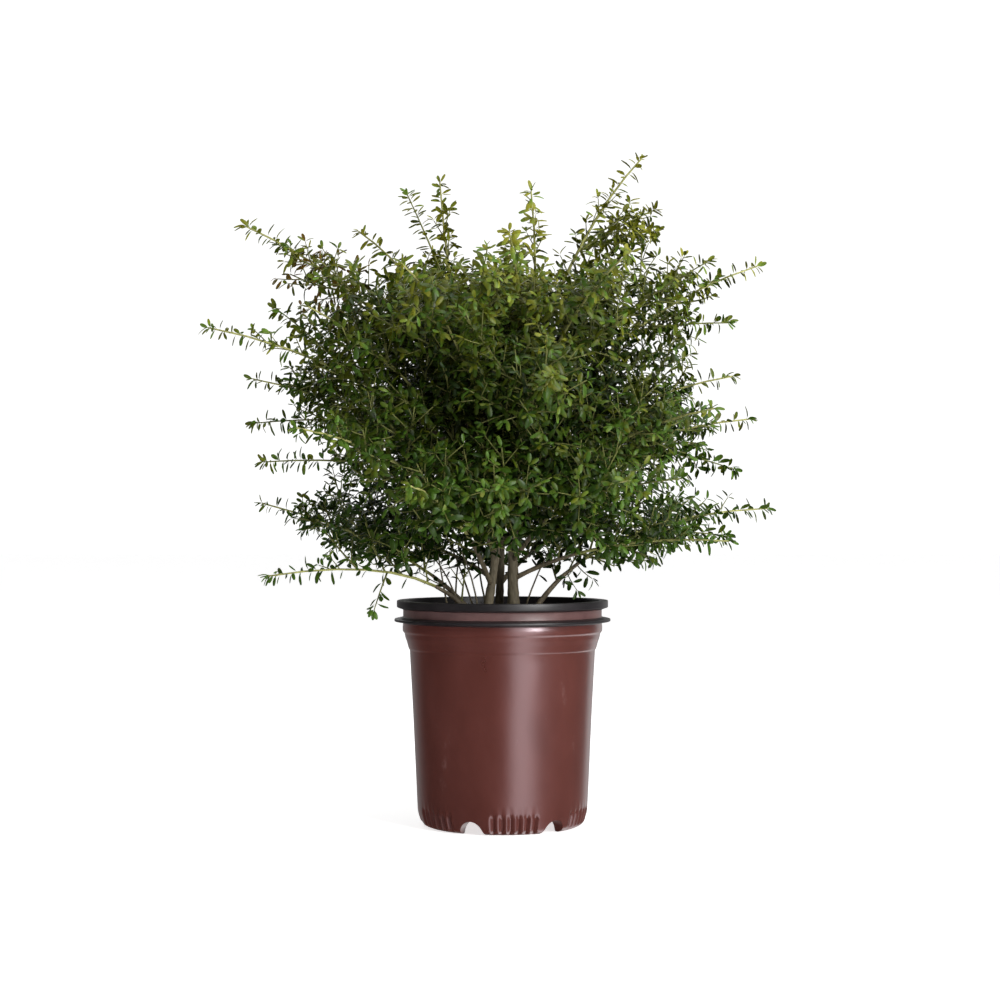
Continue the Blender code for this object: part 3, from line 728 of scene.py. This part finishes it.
def trunk_line(trunk):
    foot = Vector((*trunk.foot, 0)) * MM + UP * (SOIL_TOP + GAP)
    middle, tip = Vector(trunk.middle) * MM, Vector(trunk.tip) * MM
    points = arch(foot, tip, TRUNK_RINGS - 1, middle * 2 - (foot + tip) / 2)
    radii = tapered(trunk.radius, trunk.tip_radius, TRUNK_RINGS)
    rise = (points[1] - foot) * (FLARE_HEIGHT / (points[1].z - foot.z))
    base = foot + UP * FLARE_HEIGHT * 0.12
    flare = [foot, base, base + rise * 0.28, base + rise * 0.88]
    spread = [1.0, 0.90, 0.45, 0.0]
    above = [number for number, place in enumerate(points) if place.z > flare[-1].z + FLARE_HEIGHT / 2]
    swell = trunk.foot_radius - trunk.radius
    points = flare + [points[number] for number in above]
    radii = [trunk.radius + swell * share for share in spread] + [radii[number] for number in above]
    return points, [radius * MM for radius in radii]


def smooth_line(points, radii, spacing):
    """The same line through closely spaced points, for a surface with relief."""
    count = max(4, math.ceil(length_of(points) / spacing))
    padded = [points[0] * 2 - points[1], *points, points[-1] * 2 - points[-2]]
    line, sizes = [], []
    for step in range(count + 1):
        place = step / count * (len(points) - 1)
        number = min(int(place), len(points) - 2)
        share = place - number
        before, first, second, after = padded[number : number + 4]
        bend = (second - before) * share + (before * 2 - first * 5 + second * 4 - after) * share**2
        bend += (first * 3 - before - second * 3 + after) * share**3
        line.append(first + bend / 2)
        sizes.append(radii[number] + (radii[number + 1] - radii[number]) * share)
    return line, sizes


def tubes(name, lines, resolution, materials):
    """Many tapering tubes, closed at both ends, joined in one mesh."""
    curve = bpy.data.curves.new(name, "CURVE")
    curve.dimensions = "3D"
    curve.bevel_depth = 1.0
    curve.bevel_resolution = resolution
    curve.use_fill_caps = True
    for points, radii in lines:
        route = curve.splines.new("POLY")
        route.points.add(len(points) - 1)
        route.points.foreach_set("co", [number for place in points for number in (*place, 1.0)])
        route.points.foreach_set("radius", list(radii))
    holder = bpy.data.objects.new(name, curve)
    bpy.context.scene.collection.objects.link(holder)
    bpy.context.view_layer.update()
    mesh = bpy.data.meshes.new_from_object(holder.evaluated_get(bpy.context.evaluated_depsgraph_get()))
    bpy.data.objects.remove(holder)
    shape = bmesh.new()
    shape.from_mesh(mesh)
    bmesh.ops.remove_doubles(shape, verts=shape.verts, dist=0.000005)
    bmesh.ops.recalc_face_normals(shape, faces=shape.faces)
    piece = mesh_piece(name, shape, materials)
    piece.data.shade_smooth()
    return piece


def make_limb(node, points, radii, material):
    line, sizes = smooth_line(points, radii, RELIEF_STEP)
    thick = radii[0] > THICK_LIMB
    for number, place in enumerate(line):
        sizes[number] *= 1 + 0.10 * noise.noise(place * 130) + 0.05 * noise.noise(place * 410)
    piece = tubes(node + "_bark", [(line, sizes)], 8 if thick else 4, [material])
    heading = (points[-1] - points[0]).normalized()
    for vert in piece.data.vertices:
        stretched = vert.co * 620 - heading * vert.co.dot(heading) * 500
        relief = noise.noise(stretched) + 0.5 * noise.noise(stretched * 2.3)
        vert.co += vert.normal * relief * (THICK_RELIEF if thick else THIN_RELIEF) * MM
    belongs(piece, "bark", node)


def side_shoots(stem, seed):
    whole = length_of(stem)
    for number in range(SHOOTS):
        draw = random.Random(seed * 100 + number)
        way = number / (SHOOTS - 1)
        root, ahead = along(stem, FIRST_SHOOT + (LAST_SHOOT - FIRST_SHOOT) * way)
        fan = SHOOT_ANGLE[0] + (SHOOT_ANGLE[1] - SHOOT_ANGLE[0]) * way
        across = sideways(ahead, number * GOLDEN_ANGLE + seed)
        heading = ahead * math.cos(fan) + across * math.sin(fan) + UP * SHOOT_LIFT
        share = SHOOT_SHARE[0] + (SHOOT_SHARE[1] - SHOOT_SHARE[0]) * way
        yield number, root, heading.normalized(), whole * share * draw.uniform(*SHOOT_SPREAD)


def sideways(heading, turn):
    across = heading.cross(UP if abs(heading.z) < 0.95 else Vector((1, 0, 0))).normalized()
    return Matrix.Rotation(turn, 3, heading) @ across


def at_height(rows, height):
    """The values between the rows of a table at a height, or at any other first value."""
    for first, second in zip(rows, rows[1:]):
        if height <= second[0] or second is rows[-1]:
            share = min(max((height - first[0]) / (second[0] - first[0]), 0), 1)
            return [low + (high - low) * share for low, high in zip(first[1:], second[1:])]


def depth_in_crown(place):
    """How far inside the dense crown a place is. It is less than nothing outside."""
    nearness = CAMERA_PLACE[1] / (CAMERA_PLACE[1] - place.y)
    across = place.x * nearness / MM
    height = (CAMERA_PLACE[2] + (place.z - CAMERA_PLACE[2]) * nearness) / MM
    left, right, deep = at_height(CROWN_SIDES, height)
    reach = math.hypot(across / (right if across > 0 else left), place.y / MM / deep)
    return min((1 - reach) * 160, at_height(CROWN_TOP, across)[0] - height) * MM


class Foliage:
    """Collects the stems, the twigs and the leaves of a tier of masses."""

    def __init__(self, tier):
        self.stems, self.twigs = [], []
        self.leaves = {tone: [] for tone in LEAF_LOOKS}
        self.leaf_length = LEAF_LENGTH * TIER_LEAVES[tier]
        self.tone = TIER_TONES_AND_PAINTED_LIGHT[tier]

    def leafy(self, points, bare, tone, seed, lowest=SKIRT, spacing=LEAF_SPACING):
        """A spiral of leaves along a line, with a small rosette at its tip. The youngest are the palest."""
        draw = random.Random(seed)
        count = max(2, round(length_of(points) * (1 - bare) / spacing))
        places = [(number / count, LEAF_FAN * draw.uniform(*LEAF_FAN_SPREAD)) for number in range(count)]
        places += ROSETTE
        # Leaves deeper inside the crown get darker greens: painted shade.
        inside = min(max(depth_in_crown(points[-1]) / INNER_DEPTH, 0), 1)
        tone -= inside * INNER_PAINTED_SHADE
        for number, (way, fan) in enumerate(places):
            root, ahead = along(points, bare + (1 - bare) * way)
            turn = number * GOLDEN_ANGLE + seed + draw.uniform(-LEAF_TURN_STRAY, LEAF_TURN_STRAY)
            heading = (ahead * math.cos(fan) + sideways(ahead, turn) * math.sin(fan)).normalized()
            outward = Vector((root.x, root.y, 0)).normalized()
            stray = Vector([draw.uniform(-LEAF_STRAY, LEAF_STRAY) for axis in range(3)])
            face = ahead * 0.65 + UP * 0.65 + outward * 0.25 + stray
            size = self.leaf_length * draw.uniform(*LEAF_SIZE_SPREAD) * (1 - 0.25 * way**6)
            if (root + heading * size).z < lowest:
                continue
            pale = tone + (YOUNG_TONE_RISE if way > YOUNG_LEAF else 0.0) + draw.uniform(-0.5, 0.5)
            look = TONES[min(max(round(pale), 0), len(TONES) - 1)]
            if (root - BRONZE_PLACE).length < BRONZE_REACH and draw.random() < BRONZE_SHARE:
                look = "bronze"
            self.leaves[look].append((root, heading, face, size, draw.randrange(len(LEAF_CURLS))))

    def twig(self, base, heading, reach, tone, seed):
        sag = UP * reach * random.Random(seed).uniform(-0.06, 0.06)
        points = arch(base, base + heading * reach, 3, base + heading * reach * 0.5 - sag)
        self.twigs.append((points, tapered(*TWIG_RADIUS, len(points))))
        self.leafy(points, 0.12, tone, seed)

    def twiggy(self, points, radii, tone, seed):
        """A leafy shoot with a spiral of leafy twigs."""
        draw = random.Random(seed)
        length = length_of(points)
        self.twigs.append((points, tapered(*radii, len(points))))
        self.leafy(points, 0.16, tone, seed)
        count = max(1, int(length * TWIG_RUN / TWIG_SPACING))
        for number in range(count):
            place = FIRST_TWIG + TWIG_RUN * (number + 0.5) / count
            base, ahead = along(points, place)
            fan = draw.uniform(*TWIG_FAN)
            across = sideways(ahead, number * GOLDEN_ANGLE + seed)
            turned = (ahead * math.cos(fan) + across * math.sin(fan) + UP * 0.2).normalized()
            reach = min(length * 0.6, TWIG_REACH[0] + (TWIG_REACH[1] - TWIG_REACH[0]) * place)
            reach *= draw.uniform(*TWIG_SPREAD)
            end = base + turned * reach
            if end.z > SKIRT and depth_in_crown(end) > -CROWN_MARGIN[1]:
                self.twig(base, turned, reach, tone, seed * 17 + number)

    def shoot(self, root, heading, length, tone, seed):
        """A side shoot, shortened to a spur where it would stand too far out of the crown."""
        draw = random.Random(seed)
        margin = draw.uniform(*CROWN_MARGIN)
        for share in TRIES:
            end = root + heading * length * share
            if end.z > SKIRT and depth_in_crown(end) > -margin:
                middle = root.lerp(end, 0.5) - UP * length * share * draw.uniform(-0.02, 0.10)
                self.twiggy(arch(root, end, 5, middle), SHOOT_RADIUS, tone, seed)
                return
        spur = draw.uniform(*SPUR_REACH)
        if (root + heading * spur).z > SKIRT:
            self.twig(root, heading, spur, tone + 0.5, seed)

    def tip_leaves(self, points, tone, seed):
        """Close-set leaves along the outer part of a leader."""
        self.leafy(points, 0.12, tone, seed, 0, OLD_LEAF_SPACING)
        self.leafy(points, 0.60, tone + 0.3, seed + 7, 0, TIP_LEAF_SPACING)

    def mass(self, stem, radii, seed):
        """A stem with its side shoots by the rule of the solids."""
        self.stems.append((stem, tapered(*radii, len(stem))))
        self.tip_leaves(stem, self.tone + 0.3, seed)
        for number, root, heading, length in side_shoots(shortened(stem, STEM_END), seed):
            tone = self.tone + random.Random(seed * 1000 + number).uniform(-0.9, 0.9)
            self.shoot(root, heading, length, tone, seed * 100 + number)

    def inner(self, points, first, seed):
        """Short leafy shoots along the outer part of a limb."""
        count = int(length_of(points) * (1 - first) / BOUGH_SHOOT_SPACING)
        for number in range(count):
            draw = random.Random(seed * 300 + number)
            root, ahead = along(points, first + (1 - first) * number / count)
            across = sideways(ahead, number * GOLDEN_ANGLE + seed)
            heading = (ahead * 0.5 + across + UP * 0.35).normalized()
            length = BOUGH_SHOOT_REACH * draw.uniform(*BOUGH_SHOOT_SPREAD)
            # These shoots inside the crown start half a step darker: painted shade.
            self.shoot(root, heading, length, self.tone - 0.5, seed * 500 + number)

    def few_leaves(self, points, radii, first, tone, seed):
        """A thin shoot with leaves on its outer part only."""
        self.twigs.append((points, tapered(*radii, len(points))))
        self.leafy(points, first, tone, seed, 0)


def leaf_shape(curl):
    """A leaf 1 long on +Y, facing +Z: a stalk and a recurved, domed blade, widest past its middle."""
    shape = bmesh.new()
    rows = len(LEAF_WAYS) - 1
    bmesh.ops.create_grid(shape, x_segments=2, y_segments=rows, size=0.5)
    for vert in shape.verts:
        across, row = vert.co.x * 2, round((vert.co.y + 0.5) * rows)
        way, half = LEAF_WAYS[row], LEAF_HALVES[row] * LEAF_WIDTH / 2
        dome = -LEAF_DOME * abs(across) * LEAF_HALVES[row]
        vert.co = (across * half, way, dome + curl * (0.45 * way - way * way))
    mesh = bpy.data.meshes.new("leaf")
    shape.to_mesh(mesh)
    shape.free()
    corners = np.array([vert.co for vert in mesh.vertices], np.float32)
    faces = np.array([tuple(face.vertices) for face in mesh.polygons], np.int32)
    bpy.data.meshes.remove(mesh)
    return corners, faces


def joined_leaves(name, leaves, shapes, material):
    """All the given leaves in one mesh."""
    blocks, faces, first = [], [], 0
    for root, heading, face, size, kind in leaves:
        corners, quads = shapes[kind]
        side = heading.cross(face).normalized()
        axes = np.array((side, heading, side.cross(heading)), np.float32)
        blocks.append(corners * size @ axes + np.array(root, np.float32))
        faces.append(quads + first)
        first += len(corners)
    mesh = bpy.data.meshes.new(name)
    mesh.from_pydata(np.concatenate(blocks), [], np.concatenate(faces))
    mesh.shade_smooth()
    return placed(name, mesh, [material])


def leader_route(leader, limbs):
    """The line of a leader from its limb to its tip."""
    tip = polar(leader.azimuth, leader.reach, leader.height)
    if leader.limb in SIDE_STEMS:
        foot, knee_height = SIDE_STEMS[leader.limb]
        start = Vector((*foot, 0)) * MM + UP * (SOIL_TOP - 3 * MM)
        knee = start.lerp(tip, SIDE_STEM_OUT)
        knee.z = knee_height * MM
        return arch(start, tip, LEADER_STEPS, knee)
    if leader.share == 1.0:
        start, heading = along(limbs[leader.limb][0], 1)
        return arch(start, tip, STEM_STEPS, start + heading * (tip - start).length * 0.4)
    return arch(along(limbs[leader.limb][0], leader.share)[0], tip, LEADER_STEPS)


def make_bough(leader, route, bark_look):
    """A leader's bark up to where its mass begins. Returns the bough's line."""
    node, radius = "bough_" + leader.name, BOUGH_RADIUS
    if leader.limb in SIDE_STEMS:
        node, radius = leader.limb, SIDE_STEM_RADIUS
    bough = route[: BOUGH_STEPS + 1]
    make_limb(node, bough, tapered(radius, SPLIT_RADIUS, len(bough)), bark_look)
    return bough


def make_plant():
    barks = {name: bark(name + "_bark", *colours) for name, colours in BARK_LOOKS.items()}
    leaf_looks = {tone: leaf("leaf_" + tone, *colours) for tone, colours in LEAF_LOOKS.items()}
    shapes = [leaf_shape(curl) for curl in LEAF_CURLS]
    limbs = {name: trunk_line(trunk) for name, trunk in TRUNKS.items()}
    tiers = {tier: (Foliage(tier), []) for tier in TIER_LEAVES}
    inner, low = tiers["inner"][0], tiers["low"][0]
    for number, (name, (points, radii)) in enumerate(limbs.items()):
        make_limb(name, points, radii, barks["old"])
        inner.inner(points, 0.42, 60 + number)
    for seed, leader in enumerate(LEADERS, start=1):
        foliage, nodes = tiers[leader.name.split("_")[0].replace("long", "high")]
        nodes.append("foliage_" + leader.name)
        stem, radii = leader_route(leader, limbs), (SPLIT_RADIUS, TIP_RADIUS)
        if leader.share == 1.0 and leader.limb not in SIDE_STEMS:
            radii = (TRUNKS[leader.limb].tip_radius * MM, TIP_RADIUS)
        elif leader.name not in BARE_TRUNK_MASSES:
            bough = make_bough(leader, stem, barks["young"])
            foliage.inner(bough, 0.45, seed)
            stem = stem[BOUGH_STEPS:]
            if leader.limb in SIDE_STEMS:
                limbs[leader.limb] = (bough, None)
        foliage.mass(stem, radii, seed)
        for extra in leader.extra:
            root, end = along(stem, EXTRA_ROOT)[0], polar(*extra)
            points = arch(root, end, 5, root.lerp(end, 0.5) + UP * (end - root).length * 0.05)
            foliage.twiggy(points, SHOOT_RADIUS, foliage.tone + 0.4, seed * 13)
            foliage.tip_leaves(points, foliage.tone + 0.4, seed * 13 + 1)
    make_low_growth(limbs, inner, low, barks["old"])
    for tier, (foliage, nodes) in tiers.items():
        belongs(tubes("stems_" + tier, foliage.stems, 1, [barks["stem"]]), "foliage", *nodes)
        belongs(tubes("twigs_" + tier, foliage.twigs, 0, [barks["green"]]), "foliage", *nodes)
        for tone, leaves in foliage.leaves.items():
            if leaves:
                piece = joined_leaves(f"leaves_{tier}_{tone}", leaves, shapes, leaf_looks[tone])
                belongs(piece, "foliage", *nodes)


def make_low_growth(limbs, inner, low, bark_look):
    """Fine stems that rise from the soil round the trunks, and shoots that hang from the side stems."""
    fine_stems = []
    for number, (foot, tip) in enumerate(FINE_STEMS):
        start, end = Vector((*foot, 0)) * MM + UP * (SOIL_TOP - 4 * MM), Vector(tip) * MM
        bend = Vector((math.cos(number * 2.4), math.sin(number * 2.4), 1)) * 8 * MM
        points = arch(start, end, 6, start.lerp(end, 0.5) + bend)
        fine_stems.append((points, tapered(*FINE_STEM_RADIUS, len(points))))
        inner.leafy(points, 0.5, 1.2, 900 + number, 0)
    belongs(tubes("fine_stems", fine_stems, 1, [bark_look]), "bark", *TRUNKS)
    for number, (limb, share, tip) in enumerate(HANGING):
        start, end = along(limbs[limb][0], share)[0], Vector(tip) * MM
        points = arch(start, end, 4, start.lerp(end, 0.4) - UP * 2 * MM)
        low.few_leaves(points, TWIG_RADIUS, 0.3, 1.3, 950 + number)


def make_floor():
    shape = bmesh.new()
    bmesh.ops.create_grid(shape, x_segments=1, y_segments=1, size=FLOOR_SIZE)
    white = Shader("studio_floor", Roughness=0.9, Emission_Strength=FLOOR_GLOW, Emission_Color=(1, 1, 1, 1))
    white.colour(white.noise(3.0), 0.3, grey(0.84), 0.7, grey(0.86))
    floor = mesh_piece("studio_floor", shape, [white.material])
    floor.visible_glossy = False


def make_sky():
    """Surroundings of one brightness to look at and another to light with. Gloss shows the panel in them."""
    world = bpy.data.worlds.new("studio")
    bpy.context.scene.world = world
    world.use_nodes = True
    tree = world.node_tree
    background = tree.nodes["Background"]
    background.inputs["Color"].default_value = (1, 1, 1, 1)
    rays = tree.nodes.new("ShaderNodeLightPath")
    heading = tree.nodes.new("ShaderNodeTexCoord")
    parts = tree.nodes.new("ShaderNodeSeparateXYZ")
    tree.links.new(heading.outputs["Generated"], parts.inputs[0])
    strength = background.inputs["Strength"]
    for source, span, low, high in (
        (rays.outputs["Is Camera Ray"], (0, 1), None, SKY_SEEN),
        (rays.outputs["Is Glossy Ray"], (0, 1), SKY_LIGHT, None),
        (parts.outputs["Y"], BEHIND, None, GLOSS_BEHIND),
        (parts.outputs["X"], PANEL_LEFT_EDGE, GLOSS_LEFT, None),
        (parts.outputs["X"], PANEL_RIGHT_EDGE, GLOSS_PANEL, GLOSS_RIGHT),
    ):
        part = tree.nodes.new("ShaderNodeMapRange")
        tree.links.new(source, part.inputs["Value"])
        tree.links.new(part.outputs[0], strength)
        for socket, value in zip(("From Min", "From Max", "To Min", "To Max"), (*span, low, high)):
            if value is None:
                strength = part.inputs[socket]
            else:
                part.inputs[socket].default_value = value


def make_lamps():
    for name, lamp in LAMPS.items():
        light = bpy.data.lights.new(name, "AREA")
        light.shape = "RECTANGLE"
        light.size, light.size_y, light.energy = lamp.width, lamp.height, lamp.power
        holder = bpy.data.objects.new(name, light)
        holder.location = lamp.place
        holder.rotation_euler = (LAMPS_AIM - Vector(lamp.place)).to_track_quat("-Z", "Y").to_euler()
        bpy.context.scene.collection.objects.link(holder)


def make_camera():
    camera = bpy.data.objects.new("camera", bpy.data.cameras.new("camera"))
    camera.location = CAMERA_PLACE
    camera.rotation_euler = (math.pi / 2, 0, 0)
    camera.data.lens = CAMERA_LENS
    camera.data.sensor_width = 36
    camera.data.shift_y = CAMERA_SHIFT
    scene = bpy.context.scene
    scene.collection.objects.link(camera)
    scene.camera = camera
    scene.view_settings.view_transform = "Standard"


make_camera()
make_floor()
make_sky()
make_lamps()
make_pot()
make_soil()
make_plant()
